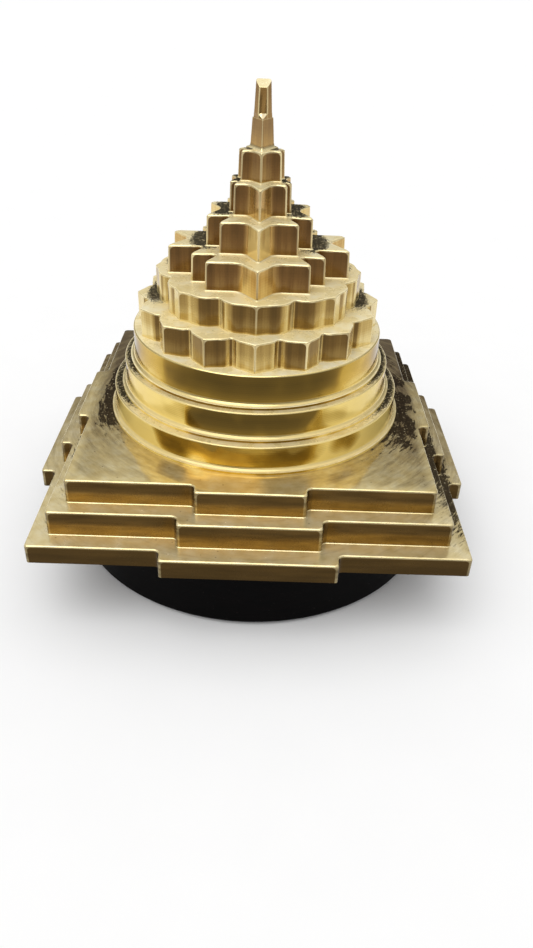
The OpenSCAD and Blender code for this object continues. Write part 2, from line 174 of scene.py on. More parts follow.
# what the three finishes of brass share
brassLook = {
    # wall colours from dark to pale, picked mostly by the painted reflection tones
    "wall": [(0.0, "#4c361a"), (0.25, "#6f5029"), (0.5, "#977641"), (0.75, "#c69e54"), (1.0, "#f2d487")],
    # painted highlight colour of the rounded edges
    "edge": "#f8e6b0",
    # pale painted light on the level faces, as from overhead
    "top": [(0.3, "#f0dca0"), (0.5, "#f7e6b0"), (0.7, "#fbf0c8")],
    "scuff": 5.0 * mm,
    "wallRough": (0.14, 0.24), "topRough": (0.24, 0.32), "wallMetal": 0.82, "topMetal": 0.3, "sheen": 0.5,
    "slant": (0.15, 0.45), "level": 0.65, "levelSoft": 0.1,  # how far a rounded edge and a top look up
    # painted highlight line along points and top edges
    "corner": 1.5 * mm, "line": 0.75, "lineFaint": 0.3, "lineNoise": (0.35, 0.65), "lineEdge": (0.86, 0.98),
    "bump": 0.12, "bumpDeep": 0.02 * mm,
    "grit": 0.6 / 0.85 * mm,  # coarser than the real specks, so that they show
    "gritRagged": 0.6 * mm, "gritBite": 2.4, "gritCut": (1.65, 1.85), "gritCore": (0.05, 0.3), "gritMost": 0.95,
    "gritFade": 4.0 * mm, "gritFrom": -0.72, "gritBack": 1.4, "gritSoft": 0.35,
    "gritTone": [(0.3, "#060403"), (0.58, "#17110a"), (0.64, "#6d6048"), (0.69, "#b9ac8a")],
    "gritRough": 0.8, "gritSheen": 0.03,
}


# brass of every finish starts here: which way the surface faces, and how far up its tier it lies
def startBrass(name):
    material, tree, surface = newMaterial(name)
    place = addNode(tree, "ShaderNodeTexCoord")
    facing = addNode(tree, "ShaderNodeSeparateXYZ", {"Vector": place.outputs["Normal"]})
    rise = addNode(tree, "ShaderNodeAttribute", attribute_name="rise")
    return material, tree, surface, place.outputs["Object"], facing, rise.outputs["Fac"]


# noise drawn out along the way the polisher moved, and how far it shifts a wall's tone
def polishStreaks(tree, place, look):
    drawn = addNode(tree, "ShaderNodeMapping", {"Vector": place, "Scale": look["stretch"]})
    streak = addNode(tree, "ShaderNodeTexNoise", {
        "Vector": drawn.outputs[0], "Scale": 1 / look["streak"], "Detail": look["streakDetail"]})
    uneven = addNode(tree, "ShaderNodeMapRange", {
        "Value": streak.outputs["Fac"], "From Min": noiseLow, "From Max": noiseHigh,
        "To Min": -look["uneven"], "To Max": look["uneven"]})
    return streak.outputs["Fac"], uneven.outputs[0]


# a wall's colour by painted reflection by the way it faces, painted reflection of the ledge at its foot and other
# shifts
# where it is bright, the film of polish makes it less of a mirror
def wallTone(tree, level, rise, shifts, look):
    # painted reflection: tone by how squarely the wall faces front or back
    rubbed = addNode(tree, "ShaderNodeValToRGB", {"Fac": level}, stops=look["rubbed"])
    # painted reflection of the ledge at the wall's foot
    foot = addNode(tree, "ShaderNodeValToRGB", {"Fac": rise}, stops=look["footLight"])
    tone = rubbed.outputs["Color"]
    for shift in (foot.outputs["Color"], *shifts):
        tone = addNode(tree, "ShaderNodeMath", {0: tone, 1: shift}, operation="ADD").outputs[0]
    wall = addNode(tree, "ShaderNodeValToRGB", {"Fac": tone}, stops=look["wall"])
    metal = addNode(tree, "ShaderNodeMapRange", {
        "Value": tone, "From Min": look["brightFrom"], "To Min": look["wallMetal"], "To Max": look["brightMetal"]})
    return wall.outputs["Color"], metal.outputs[0]


# scuffs, and the pale colour of the level faces that follows them: painted light, as from above
def scuffedTopInPaintedLight(tree, place, look):
    scuff = addNode(tree, "ShaderNodeTexNoise", {
        "Vector": place, "Scale": 1 / look["scuff"], "Detail": 3.0, "Roughness": 0.55})
    top = addNode(tree, "ShaderNodeValToRGB", {"Fac": scuff.outputs["Fac"]}, stops=look["top"])
    return scuff.outputs["Fac"], top.outputs["Color"]


# distance from the upright middle line
def fromMiddle(tree, place):
    flat = addNode(tree, "ShaderNodeVectorMath", {0: place, 1: (1, 1, 0)}, operation="MULTIPLY")
    return addNode(tree, "ShaderNodeVectorMath", {0: flat.outputs[0]}, operation="LENGTH").outputs["Value"]


# dark grit that polishing never reached: beside the next tier, at the sides and the back
def gritPatch(tree, place, grainPlace, away, look):
    near = addNode(tree, "ShaderNodeMapRange", {
        "Value": away, "From Min": look["gritTo"] - look["gritFade"], "From Max": look["gritTo"],
        "To Min": 1.0, "To Max": 0.0})
    flat = addNode(tree, "ShaderNodeVectorMath", {0: place, 1: (1, 1, 0)}, operation="MULTIPLY")
    unit = addNode(tree, "ShaderNodeVectorMath", {0: flat.outputs[0]}, operation="NORMALIZE")
    way = addNode(tree, "ShaderNodeSeparateXYZ", {"Vector": unit.outputs[0]})
    sides = addNode(tree, "ShaderNodeMapRange", {
        "Value": way.outputs["Y"], "From Min": look["gritFrom"], "From Max": look["gritFrom"] + look["gritSoft"]})
    ends = addNode(tree, "ShaderNodeMapRange", {
        "Value": way.outputs["Y"], "From Min": look["gritBack"] - look["gritSoft"], "From Max": look["gritBack"],
        "To Min": 1.0, "To Max": 0.0})
    around = addNode(tree, "ShaderNodeMath", {0: sides.outputs[0], 1: ends.outputs[0]}, operation="MULTIPLY")
    patch = addNode(tree, "ShaderNodeMath", {0: near.outputs[0], 1: around.outputs[0]}, operation="MULTIPLY")
    grain = addNode(tree, "ShaderNodeTexNoise", {
        "Vector": grainPlace, "Scale": 1 / look["gritRagged"], "Detail": 4.0, "Roughness": 0.75})
    ragged = addNode(tree, "ShaderNodeMath", {
        0: grain.outputs["Fac"], 1: look["gritBite"], 2: patch.outputs[0]}, operation="MULTIPLY_ADD")
    mask = addNode(tree, "ShaderNodeMapRange", {
        "Value": ragged.outputs[0], "From Min": look["gritCut"][0], "From Max": look["gritCut"][1],
        "To Max": look["gritMost"]})
    inside = addNode(tree, "ShaderNodeMath", {0: mask.outputs[0], 1: patch.outputs[0]}, operation="MULTIPLY")
    full = addNode(tree, "ShaderNodeMapRange", {
        "Value": inside.outputs[0], "From Min": look["gritCore"][0], "From Max": look["gritCore"][1],
        "To Max": look["gritMost"]})
    specks = addNode(tree, "ShaderNodeTexNoise", {"Vector": place, "Scale": 1 / look["grit"], "Detail": 1.0})
    shade = addNode(tree, "ShaderNodeValToRGB", {"Fac": specks.outputs["Fac"]}, stops=look["gritTone"])
    return full.outputs[0], shade.outputs["Color"]


# painted highlight along each point and top edge of a wall, rounded where the two meet, uneven along its length
def paintedHighlightLine(tree, rise, streak, look):
    down = addNode(tree, "ShaderNodeMath", {0: rise, 1: -look["tall"], 2: look["tall"] - look["rim"]},
                   operation="MULTIPLY_ADD")
    along = addNode(tree, "ShaderNodeAttribute", attribute_name="fromPoint")
    nearTop, nearPoint = [
        addNode(tree, "ShaderNodeMapRange", {
            "Value": distance, "From Max": look["corner"], "To Min": 1.0, "To Max": 0.0})
        for distance in (down.outputs[0], along.outputs["Fac"])]
    both = addNode(tree, "ShaderNodeCombineXYZ", {"X": nearTop.outputs[0], "Y": nearPoint.outputs[0]})
    reach = addNode(tree, "ShaderNodeVectorMath", {0: both.outputs[0]}, operation="LENGTH")
    shine = addNode(tree, "ShaderNodeMapRange", {
        "Value": streak, "From Min": look["lineNoise"][0], "From Max": look["lineNoise"][1],
        "To Min": look["lineFaint"] * look["line"], "To Max": look["line"]})
    return addNode(tree, "ShaderNodeMapRange", {
        "Value": reach.outputs["Value"], "From Min": look["lineEdge"][0], "From Max": look["lineEdge"][1],
        "To Max": shine.outputs[0]}).outputs[0]


# wall, edge and top by the way the surface faces; a film of dried polish makes the level faces scatter light
def finishBrass(tree, surface, facing, wall, metal, line, top, grit, rough, height, look):
    gritty = addNode(tree, "ShaderNodeMix", {0: grit[0], 6: top, 7: grit[1]}, data_type="RGBA")
    slant = addNode(tree, "ShaderNodeMapRange", {
        "Value": facing.outputs["Z"], "From Min": look["slant"][0], "From Max": look["slant"][1]})
    isEdge = addNode(tree, "ShaderNodeMath", {0: slant.outputs[0], 1: line}, operation="MAXIMUM")
    isTop = addNode(tree, "ShaderNodeMapRange", {
        "Value": facing.outputs["Z"], "From Min": look["level"], "From Max": look["level"] + look["levelSoft"]})
    # rounded edges and the bright line take the painted highlight colour
    edged = addNode(tree, "ShaderNodeMix", {
        0: isEdge.outputs[0], 6: wall, 7: linear(look["edge"])}, data_type="RGBA")
    # level faces take the pale painted light, or grit
    final = addNode(tree, "ShaderNodeMix", {
        0: isTop.outputs[0], 6: edged.outputs[2], 7: gritty.outputs[2]}, data_type="RGBA")
    tree.links.new(final.outputs[2], surface.inputs["Base Color"])
    film = addNode(tree, "ShaderNodeMix", {0: isTop.outputs[0], 2: metal, 3: look["topMetal"]})
    tree.links.new(film.outputs[0], surface.inputs["Metallic"])
    wallRough, topRough = [
        addNode(tree, "ShaderNodeMapRange", {
            "Value": rough, "From Min": noiseLow, "From Max": noiseHigh, "To Min": low, "To Max": high})
        for low, high in (look["wallRough"], look["topRough"])]
    upper = addNode(tree, "ShaderNodeMix", {0: grit[0], 2: topRough.outputs[0], 3: look["gritRough"]})
    both = addNode(tree, "ShaderNodeMix", {0: isTop.outputs[0], 2: wallRough.outputs[0], 3: upper.outputs[0]})
    tree.links.new(both.outputs[0], surface.inputs["Roughness"])
    sheen = addNode(tree, "ShaderNodeMix", {0: grit[0], 2: look["sheen"], 3: look["gritSheen"]})
    tree.links.new(sheen.outputs[0], surface.inputs["Specular IOR Level"])
    bump = addNode(tree, "ShaderNodeBump", {
        "Height": height, "Strength": look["bump"], "Distance": look["bumpDeep"]})
    tree.links.new(bump.outputs[0], surface.inputs["Normal"])


milledLook = dict(
    brassLook,
    # painted reflection by how squarely a wall faces front or back: flanks of points brighter than level faces
    rubbed=[(0.0, 0.3), (0.3, 0.5), (0.42, 0.98), (0.5, 0.95), (0.6, 0.75), (0.8, 0.5), (0.95, 0.2), (1.0, 0.14)],
    # painted reflection of the ledge at a wall's foot
    footLight=[(0.0, 0.75), (0.03, 0.65), (0.06, 0.2), (0.35, 0.12), (0.7, 0.0), (0.92, 0.0), (1.0, 0.06)],
    streak=2.6 * mm, stretch=(1, 1, 0.06), streakDetail=2.0, uneven=0.09,
    cutter=0.9 * mm, cutterTone=0.025,
    brightFrom=0.55, brightMetal=0.4)

lotusLook = dict(
    milledLook, topMetal=0.18,
    wall=[(0.0, "#4a3718"), (0.25, "#6c5227"), (0.5, "#957942"), (0.75, "#c3a660"), (1.0, "#f1dc9c")],
    # painted reflection bands across each petal, by the way its walls face
    rubbed=[(0.0, 0.25), (0.3, 0.5), (0.44, 0.98), (0.54, 0.9), (0.64, 0.36), (0.74, 0.8), (0.84, 0.62), (0.9, 0.5),
            (0.94, 0.2), (1.0, 0.13)],
    footLight=[(0.0, 0.7), (0.04, 0.45), (0.08, 0.25), (0.3, 0.2), (0.6, 0.04), (1.0, 0.0)])


# Brass, milled and polished by hand: painted reflection tones the walls, which have faint cutter lines
# painted highlights on the edges, and scuffed tops in pale painted light
def milledBrass(name, look):
    material, tree, surface, place, facing, rise = startBrass("brassMilledHandPolished." + name)
    level = addNode(tree, "ShaderNodeMath", {0: facing.outputs["Y"]}, operation="ABSOLUTE")
    streak, uneven = polishStreaks(tree, place, look)
    # cutter lines across and up the walls, drawn coarser than the real ones so that they show
    across, along = [
        addNode(tree, "ShaderNodeTexWave", {
            "Vector": place, "Scale": oneBand / look["cutter"], "Distortion": 0.5, "Detail": 1.0},
            bands_direction=way)
        for way in ("Z", "X")]
    grid = addNode(tree, "ShaderNodeMath", {0: across.outputs["Fac"], 1: along.outputs["Fac"]}, operation="ADD")
    lines = addNode(tree, "ShaderNodeMapRange", {
        "Value": grid.outputs[0], "From Max": 2.0, "To Min": -look["cutterTone"], "To Max": look["cutterTone"]})
    wall, metal = wallTone(tree, level.outputs[0], rise, (uneven, lines.outputs[0]), look)
    scuff, top = scuffedTopInPaintedLight(tree, place, look)
    grit = gritPatch(tree, place, place, fromMiddle(tree, place), look)
    line = paintedHighlightLine(tree, rise, streak, look)
    finishBrass(tree, surface, facing, wall, metal, line, top, grit, scuff, streak, look)
    return material


turnedLook = dict(
    brassLook,
    wall=[(0.0, "#4d3d1b"), (0.25, "#705824"), (0.5, "#a18033"), (0.75, "#d5b04b"), (1.0, "#fde184")],
    # footLight: painted reflection of the ledge; edge: painted highlight on cove and rim; top: pale painted light
    footLight=[(0.0, 0.3), (0.22, 0.24), (0.45, 0.06), (0.7, 0.0), (1.0, 0.05)],
    edge="#efd894", level=0.88, top=[(0.3, "#f1dfa4"), (0.5, "#faecbb"), (0.7, "#fdf5d4")],
    turning=0.7 * mm, turningTone=0.02, cloud=14 * mm, cloudShift=0.1,
    wallRough=(0.1, 0.16), wallMetal=0.96, brightFrom=0.6, brightMetal=0.25, gritFade=3.0 * mm)


# Brass, turned on a lathe and polished to a mirror: faint rings of the tool
# smooth bands of painted reflection round the wall
def turnedBrass(name, look):
    material, tree, surface, place, facing, rise = startBrass("brassTurnedMirrorPolished." + name)
    level = addNode(tree, "ShaderNodeMath", {0: facing.outputs["Y"]}, operation="ABSOLUTE")
    # noise that moves the painted reflection bands about
    cloud = addNode(tree, "ShaderNodeTexNoise", {"Vector": place, "Scale": 1 / look["cloud"], "Detail": 1.0})
    shift = addNode(tree, "ShaderNodeMapRange", {
        "Value": cloud.outputs["Fac"], "From Min": noiseLow, "From Max": noiseHigh,
        "To Min": -look["cloudShift"], "To Max": look["cloudShift"]})
    moved = addNode(tree, "ShaderNodeMath", {0: level.outputs[0], 1: shift.outputs[0]}, operation="ADD")
    # rings of the tool, drawn coarser than the real ones so that they show
    rings = addNode(tree, "ShaderNodeTexWave", {
        "Vector": place, "Scale": oneBand / look["turning"], "Distortion": 1.5, "Detail": 3.0,
        "Detail Scale": 0.02}, bands_direction="Z")
    lines = addNode(tree, "ShaderNodeMapRange", {
        "Value": rings.outputs["Fac"], "To Min": -look["turningTone"], "To Max": look["turningTone"]})
    wall, metal = wallTone(tree, moved.outputs[0], rise, (lines.outputs[0],), look)
    scuff, top = scuffedTopInPaintedLight(tree, place, look)
    grit = gritPatch(tree, place, place, fromMiddle(tree, place), look)
    finishBrass(tree, surface, facing, wall, metal, 0.0, top, grit, scuff, rings.outputs["Fac"], look)
    return material


castLook = dict(
    brassLook,
    wall=[(0.0, "#423114"), (0.3, "#644c25"), (0.6, "#92733a"), (1.0, "#d8ba72")],
    # top: pale painted light on the level faces; footLight: painted reflection of the ledge on the walls
    top=[(0.3, "#e6d196"), (0.5, "#f1dfaa"), (0.7, "#f9ebc0")],
    footLight=[(0.0, 0.54), (0.3, 0.43), (0.42, 0.36), (0.56, 0.15), (0.85, 0.12), (1.0, 0.25)],
    wallRough=(0.18, 0.32), topRough=(0.16, 0.28), wallMetal=0.9, topMetal=0.78,
    corner=1.4 * mm, line=0.3,
    streak=2.0 * mm, stretch=(0.12, 0.12, 1), streakDetail=4.0, uneven=0.1,
    stroke=10 * mm,  # a radian round the middle counts as this far, which draws the noise out into strokes
    pit=4.0 * mm, pitEdge=(0.05, 0.09), pitDepth=0.5, pitTone="#5a4320",
    tarnish=2.2 * mm, tarnishFrom=-45 * mm, tarnishTo=45 * mm, tarnishMost=0.95, tarnishRagged=0.3,
    tarnishWay=(0.15, 0.9, 0), tarnishSides=0.75, tarnishTone="#705a2c",
    gritFrom=-0.8, gritLean=0.027, underRound=False,
    gritTone=[(0.3, "#241d15"), (0.62, "#3d3224"), (0.71, "#6d6048"), (0.77, "#d8cfb0")],
    worn=4 * mm, wornPatch=16 * mm, wornEdge=(0.54, 0.7),
    handled=0.0, handledFrom=59 * mm, handledTo=64.5 * mm, shine=3.5)


# Brass, cast, then filed and polished by hand: level streaks on the walls, strokes of the wheel and casting pits on
# the tops, dull tarnish at the back and sides, dark grit in the corners, clean where hands touch it
def castBrass(name, look):
    material, tree, surface, place, facing, rise = startBrass("brassCastHandPolished." + name)
    # painted reflection of the ledge: walls lighter low down, darker higher up
    foot = addNode(tree, "ShaderNodeValToRGB", {"Fac": rise}, stops=look["footLight"])
    streak, uneven = polishStreaks(tree, place, look)
    tone = addNode(tree, "ShaderNodeMath", {0: foot.outputs["Color"], 1: uneven}, operation="ADD")
    wall = addNode(tree, "ShaderNodeValToRGB", {"Fac": tone.outputs[0]}, stops=look["wall"])
    scuff, top = scuffedTopInPaintedLight(tree, place, look)
    apart = addNode(tree, "ShaderNodeSeparateXYZ", {"Vector": place})
    sideways = addNode(tree, "ShaderNodeMath", {0: apart.outputs["X"]}, operation="ABSOLUTE")
    forward = addNode(tree, "ShaderNodeMath", {0: apart.outputs["Y"]}, operation="ABSOLUTE")
    outermost = addNode(tree, "ShaderNodeMath", {0: sideways.outputs[0], 1: forward.outputs[0]},
                        operation="MAXIMUM")
    middle = fromMiddle(tree, place)
    away = middle if look["underRound"] else outermost.outputs[0]
    # grit: more of it on the right than on the left, rubbed away in patches and along the edges that hands touch
    worn = addNode(tree, "ShaderNodeTexNoise", {
        "Vector": place, "Scale": 1 / look["wornPatch"], "Detail": 6.0, "Roughness": 0.68})
    rubbedOff = addNode(tree, "ShaderNodeMapRange", {
        "Value": worn.outputs["Fac"], "From Min": look["wornEdge"][0], "From Max": look["wornEdge"][1],
        "To Max": look["worn"]})
    handled = addNode(tree, "ShaderNodeMapRange", {
        "Value": outermost.outputs[0], "From Min": look["handledFrom"], "From Max": look["handledTo"],
        "To Max": look["handled"]})
    further = addNode(tree, "ShaderNodeMath", {0: away, 1: rubbedOff.outputs[0]}, operation="ADD")
    cleaner = addNode(tree, "ShaderNodeMath", {0: further.outputs[0], 1: handled.outputs[0]}, operation="ADD")
    leaning = addNode(tree, "ShaderNodeMath", {
        0: apart.outputs["X"], 1: -look["gritLean"], 2: cleaner.outputs[0]}, operation="MULTIPLY_ADD")
    # strokes of the polishing wheel run round the middle
    front = addNode(tree, "ShaderNodeMath", {0: apart.outputs["Y"], 1: -1.0}, operation="MULTIPLY")
    angle = addNode(tree, "ShaderNodeMath", {0: apart.outputs["X"], 1: front.outputs[0]}, operation="ARCTAN2")
    stroke = addNode(tree, "ShaderNodeMath", {0: angle.outputs[0], 1: look["stroke"]}, operation="MULTIPLY")
    strokes = addNode(tree, "ShaderNodeCombineXYZ", {"X": middle, "Y": stroke.outputs[0]})
    # tarnish that deepens towards the back and the sides, more on one side, broken up by fine scratches
    cloud = addNode(tree, "ShaderNodeTexNoise", {
        "Vector": strokes.outputs[0], "Scale": 1 / look["tarnish"], "Detail": 7.0, "Roughness": 0.75})
    along = addNode(tree, "ShaderNodeVectorMath", {0: place, 1: look["tarnishWay"]}, operation="DOT_PRODUCT")
    outer = addNode(tree, "ShaderNodeMath", {
        0: sideways.outputs[0], 1: look["tarnishSides"], 2: along.outputs["Value"]}, operation="MULTIPLY_ADD")
    touched = addNode(tree, "ShaderNodeMath", {
        0: handled.outputs[0], 1: -look["shine"], 2: outer.outputs[0]}, operation="MULTIPLY_ADD")
    reach = addNode(tree, "ShaderNodeMapRange", {
        "Value": touched.outputs[0], "From Min": look["tarnishFrom"], "From Max": look["tarnishTo"],
        "To Max": look["tarnishMost"]})
    ragged = addNode(tree, "ShaderNodeMapRange", {
        "Value": cloud.outputs["Fac"], "From Min": noiseLow, "From Max": noiseHigh,
        "To Min": -look["tarnishRagged"], "To Max": look["tarnishRagged"]})
    dull = addNode(tree, "ShaderNodeMath", {0: reach.outputs[0], 1: ragged.outputs[0]}, operation="ADD",
                   use_clamp=True)
    tarnished = addNode(tree, "ShaderNodeMix", {
        0: dull.outputs[0], 6: top, 7: linear(look["tarnishTone"])}, data_type="RGBA")
    cells = addNode(tree, "ShaderNodeTexVoronoi", {"Vector": place, "Scale": 1 / look["pit"]})
    hole = addNode(tree, "ShaderNodeMapRange", {
        "Value": cells.outputs["Distance"], "From Min": look["pitEdge"][0], "From Max": look["pitEdge"][1],
        "To Min": look["pitDepth"], "To Max": 0.0})
    pitted = addNode(tree, "ShaderNodeMix", {
        0: hole.outputs[0], 6: tarnished.outputs[2], 7: linear(look["pitTone"])}, data_type="RGBA")
    grit = gritPatch(tree, place, strokes.outputs[0], leaning.outputs[0], look)
    line = paintedHighlightLine(tree, rise, streak, look)
    finishBrass(tree, surface, facing, wall.outputs["Color"], look["wallMetal"], line, pitted.outputs[2], grit,
                scuff, streak, look)
    return material


woodLook = {
    "grain": 1.5 * mm, "stretch": (0.2, 0.2, 1), "tone": [(0.3, "#020202"), (0.7, "#060404")],
    "dust": 0.7 * mm, "dustEdge": (0.74, 0.8), "dustMost": 0.3, "dustTone": "#5d5452",
    "rough": (0.32, 0.42), "sheen": 0.035, "bump": 0.15, "bumpDeep": 0.02 * mm,
}


# Wood, turned and lacquered black: near black, a soft satin sheen, faint rings of grain and a little dust
def lacqueredWood(look):
    material, tree, surface = newMaterial("woodTurnedBlackLacquer")
    place = addNode(tree, "ShaderNodeTexCoord").outputs["Object"]
    lying = addNode(tree, "ShaderNodeMapping", {"Vector": place, "Scale": look["stretch"]})
    grain = addNode(tree, "ShaderNodeTexNoise", {
        "Vector": lying.outputs[0], "Scale": 1 / look["grain"], "Detail": 4.0})
    dust = addNode(tree, "ShaderNodeTexNoise", {"Vector": place, "Scale": 1 / look["dust"], "Detail": 1.0})
    shade = addNode(tree, "ShaderNodeValToRGB", {"Fac": grain.outputs["Fac"]}, stops=look["tone"])
    speck = addNode(tree, "ShaderNodeMapRange", {
        "Value": dust.outputs["Fac"], "From Min": look["dustEdge"][0], "From Max": look["dustEdge"][1],
        "To Max": look["dustMost"]})
    dusty = addNode(tree, "ShaderNodeMix", {
        0: speck.outputs[0], 6: shade.outputs["Color"], 7: linear(look["dustTone"])}, data_type="RGBA")
    tree.links.new(dusty.outputs[2], surface.inputs["Base Color"])
    rough = addNode(tree, "ShaderNodeMapRange", {
        "Value": grain.outputs["Fac"], "From Min": noiseLow, "From Max": noiseHigh,
        "To Min": look["rough"][0], "To Max": look["rough"][1]})
    tree.links.new(rough.outputs[0], surface.inputs["Roughness"])
    surface.inputs["Specular IOR Level"].default_value = look["sheen"]
    bump = addNode(tree, "ShaderNodeBump", {
        "Height": grain.outputs["Fac"], "Strength": look["bump"], "Distance": look["bumpDeep"]})
    tree.links.new(bump.outputs[0], surface.inputs["Normal"])
    return material


feltLook = {
    "hair": 0.6 * mm, "tone": [(0.35, "#131216"), (0.65, "#34313a")], "rough": 0.95,
    "bump": 0.5, "bumpDeep": 0.1 * mm,
}


# Felt, pressed from short fibres: matt near black, tangled light and dark hairs
def pressedFelt(look):
    material, tree, surface = newMaterial("feltPressedBlack")
    place = addNode(tree, "ShaderNodeTexCoord").outputs["Object"]
    hairs = addNode(tree, "ShaderNodeTexNoise", {
        "Vector": place, "Scale": 1 / look["hair"], "Detail": 5.0, "Distortion": 1.5})
    shade = addNode(tree, "ShaderNodeValToRGB", {"Fac": hairs.outputs["Fac"]}, stops=look["tone"])
    tree.links.new(shade.outputs["Color"], surface.inputs["Base Color"])
    surface.inputs["Roughness"].default_value = look["rough"]
    bump = addNode(tree, "ShaderNodeBump", {
        "Height": hairs.outputs["Fac"], "Strength": look["bump"], "Distance": look["bumpDeep"]})
    tree.links.new(bump.outputs[0], surface.inputs["Normal"])
    return material


steelLook = {
    "lines": 0.3 * mm, "stretch": (1, 1, 0.05), "tone": [(0.3, "#85878b"), (0.7, "#b4b6ba")],
    "rough": (0.3, 0.45),
}


# Mild steel, drawn and left plain: grey metal with fine lines along the bar
def plainSteel(look):
    material, tree, surface = newMaterial("steelDrawnPlain")
    surface.inputs["Metallic"].default_value = 1.0
    place = addNode(tree, "ShaderNodeTexCoord").outputs["Object"]
    drawn = addNode(tree, "ShaderNodeMapping", {"Vector": place, "Scale": look["stretch"]})
    lines = addNode(tree, "ShaderNodeTexNoise", {
        "Vector": drawn.outputs[0], "Scale": 1 / look["lines"], "Detail": 3.0})
    shade = addNode(tree, "ShaderNodeValToRGB", {"Fac": lines.outputs["Fac"]}, stops=look["tone"])
    tree.links.new(shade.outputs["Color"], surface.inputs["Base Color"])
    rough = addNode(tree, "ShaderNodeMapRange", {
        "Value": lines.outputs["Fac"], "From Min": noiseLow, "From Max": noiseHigh,
        "To Min": look["rough"][0], "To Max": look["rough"][1]})
    tree.links.new(rough.outputs[0], surface.inputs["Roughness"])
    return material


# the figure's recipe: a circle of 48 parts, nine level lines rubbed out at their ends, nine triangles
figure = {
    "circle": 66.8 * mm,
    "parts": 48,
    "lineHeight": [18, 12, 7, 4, 1, -3, -6, -12, -18],
    "lineRubbed": [3, 5, 0, 16, 18, 16, 0, 4, 3],
    "cornerHeight": [-3, -18, -24, -12, -6, 12, 24, 18, 7],
}
figurePart = figure["circle"] / figure["parts"]


def tip(k):
    height, reach = figure["lineHeight"][k - 1], figure["parts"] / 2
    return Vector((math.sqrt(reach * reach - height * height) - figure["lineRubbed"][k - 1], height))


def corner(k):
    return Vector((0, figure["cornerHeight"][k - 1]))


def base(k):
    return Vector((0, figure["lineHeight"][k - 1])), tip(k)


def side(k):
    return tip(k), corner(k)


def meet(a, b):
    runA, runB = a[1] - a[0], b[1] - b[0]
    return a[0] + runA * (b[0] - a[0]).cross(runB) / runA.cross(runB)


# right halves from the front point to the back point
starHalves = {
    "fourteen": [
        corner(3), meet(side(3), base(9)), tip(9), meet(side(9), base(8)), tip(8), meet(side(8), base(7)),
        tip(7), meet(side(7), side(3)), tip(3), meet(base(3), side(2)), tip(2), meet(base(2), side(1)),
        tip(1), meet(base(1), side(7)), corner(7)],
    "outerTen": [
        corner(2), meet(side(2), base(8)), meet(base(8), side(9)), meet(side(9), base(7)),
        meet(base(7), side(8)), meet(side(8), side(2)), meet(side(2), base(3)), meet(base(3), side(1)),
        meet(side(1), base(2)), meet(base(2), side(8)), corner(8)],
    "innerTen": [
        corner(4), meet(side(4), base(7)), meet(base(7), side(9)), meet(side(9), base(6)), tip(6),
        meet(side(6), side(4)), tip(4), meet(base(4), side(1)), meet(side(1), base(3)),
        meet(base(3), side(6)), corner(6)],
    "eight": [
        corner(5), meet(side(5), base(6)), meet(base(6), side(9)), meet(side(9), side(5)), tip(5),
        meet(base(5), side(1)), meet(side(1), base(4)), meet(base(4), side(9)), corner(9)],
}


def vertsOf(geom):
    return [v for v in geom if isinstance(v, bmesh.types.BMVert)]


def edgesOf(geom):
    return [e for e in geom if isinstance(e, bmesh.types.BMEdge)]


def chain(bm, points):
    verts = [bm.verts.new((p[0], p[1], 0)) for p in points]
    for a, b in zip(verts, verts[1:]):
        bm.edges.new((a, b))
    return verts


def mirrorHalf(bm):
    bmesh.ops.mirror(bm, geom=bm.verts[:] + bm.edges[:], matrix=Matrix(), merge_dist=weld, axis="X")


def repeatRound(bm, count):
    bmesh.ops.spin(bm, geom=bm.verts[:] + bm.edges[:], cent=(0, 0, 0), axis=(0, 0, 1),
                   angle=math.tau, steps=count, use_duplicate=True, use_merge=True)
    bmesh.ops.remove_doubles(bm, verts=bm.verts[:], dist=weld)


def extrudeUp(bm, height):
    raised = bmesh.ops.extrude_face_region(bm, geom=bm.faces[:])
    bmesh.ops.translate(bm, verts=vertsOf(raised["geom"]), vec=(0, 0, height))


def roundOff(bm, edges, size, segments, clamp=True):
    bmesh.ops.bevel(bm, geom=edges, offset=size, offset_type="OFFSET", segments=segments, profile=0.5,
                    affect="EDGES", clamp_overlap=clamp, material=-1)


def uprights(bm):
    return [e for e in bm.edges if (e.verts[0].co - e.verts[1].co).xy.length < hair]


def faceAt(bm, end):
    return end(bm.faces, key=lambda f: f.calc_center_median().z)


# how far up its tier each vertex lies, which the brass reads
def markRise(bm, low, high):
    rise = bm.verts.layers.float.new("rise")
    for v in bm.verts:
        v[rise] = (v.co.z - low) / (high - low)
    return rise


tierSet = {
    "sharpFrom": 20,  # degrees between two walls that make a point or a hollow
    "hollowSteps": 6, "rimSteps": 4, "pointSteps": 3,
    "flare": ((0.3, 0.65), (0.7, 0.35)),  # shares of the flare at the foot, out and down
    "ridgeReach": 8 * mm,
}


# edges that run up one point of the outline and on over its rounded top corner
def ridge(bm, point, inward):
    def onRidge(v):
        off = v.co.xy - point
        return abs(off.cross(inward)) < sliver and -slack < off.dot(inward) < tierSet["ridgeReach"]
    return [e for e in bm.edges if all(onRidge(v) for v in e.verts)]


